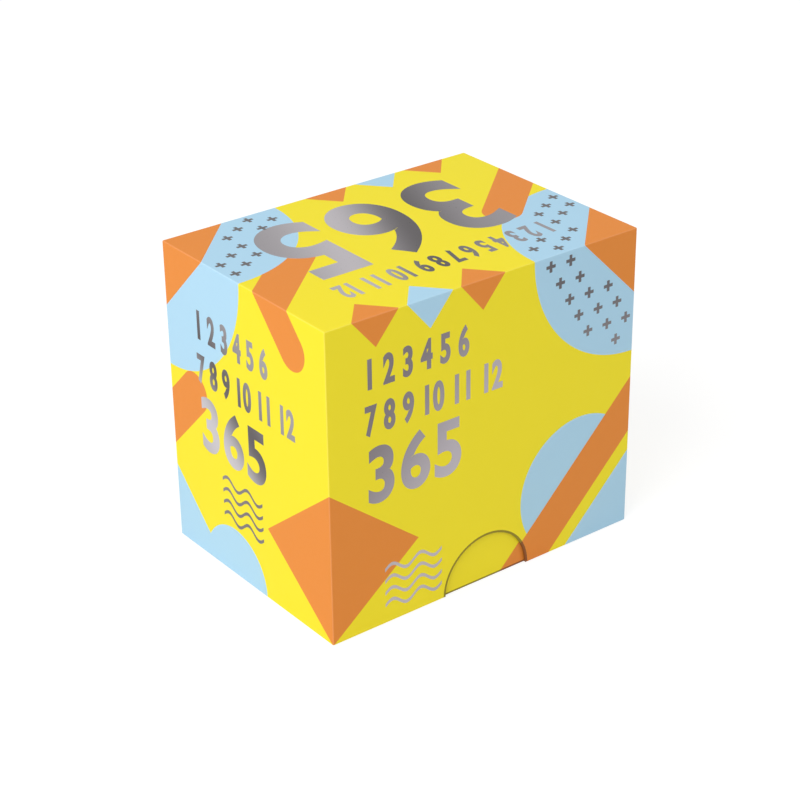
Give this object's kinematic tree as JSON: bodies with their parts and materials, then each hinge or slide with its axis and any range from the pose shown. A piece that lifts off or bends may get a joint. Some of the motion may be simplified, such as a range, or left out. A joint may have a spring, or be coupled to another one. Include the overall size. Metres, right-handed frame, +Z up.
{
  "type": "desk calendar",
  "caption": "Boxed tear-off desk calendar: a lift-off lid with thumb notches over a low tray that holds a pad of day leaves with an easel strut.",
  "frame": {"origin": "centre of the box's footprint, on the surface it stands on", "axes": "+X along the front from left to right, +Y from the front to the back, +Z up"},
  "size_m": [0.12, 0.085, 0.105],
  "materials": {
    "greyboard": "uncoated grey board",
    "strut_board": "white-lined board",
    "printed_wrap": "matt laminated print",
    "base_paper": "matt laminated print",
    "lining_paper": "uncoated white paper",
    "stay_paper": "kraft tape",
    "cover_card": "matt printed card",
    "leaf_paper": "uncoated offset paper",
    "padding_glue": "dried padding glue"
  },
  "bodies": {
    "tray": {"tray_board": "greyboard", "tray_corner_stays": "stay_paper", "tray_wrap": "printed_wrap", "tray_base_sheet": "base_paper", "tray_lining": "lining_paper"},
    "pad": {"cover_leaf": "cover_card", "january_leaves": "leaf_paper", "february_leaves": "leaf_paper", "march_leaves": "leaf_paper", "april_leaves": "leaf_paper", "may_leaves": "leaf_paper", "june_leaves": "leaf_paper", "july_leaves": "leaf_paper", "august_leaves": "leaf_paper", "september_leaves": "leaf_paper", "october_leaves": "leaf_paper", "november_leaves": "leaf_paper", "december_leaves": "leaf_paper", "backing_board": "greyboard", "head_glue": "padding_glue", "strut_flap": "strut_board"},
    "lid": {"lid_board": "greyboard", "lid_corner_stays": "stay_paper", "lid_wrap": "printed_wrap", "lid_lining": "lining_paper"},
    "strut": {"easel_strut": "strut_board"}
  },
  "joints": [
    {"name": "pad_lift", "type": "slide", "parent": "tray", "child": "pad", "axis": [0, 0, 1], "range_m": [0, 0.045]},
    {"name": "lid_lift", "type": "slide", "parent": "pad", "child": "lid", "axis": [0, 0, 1], "range_m": [0, 0.11]},
    {"name": "strut_swing", "type": "hinge", "parent": "pad", "child": "strut", "pos_m": [0, 0.01513, 0.08241], "axis": [-1, 0, 0], "range_deg": [0, 17.9]}
  ]
}
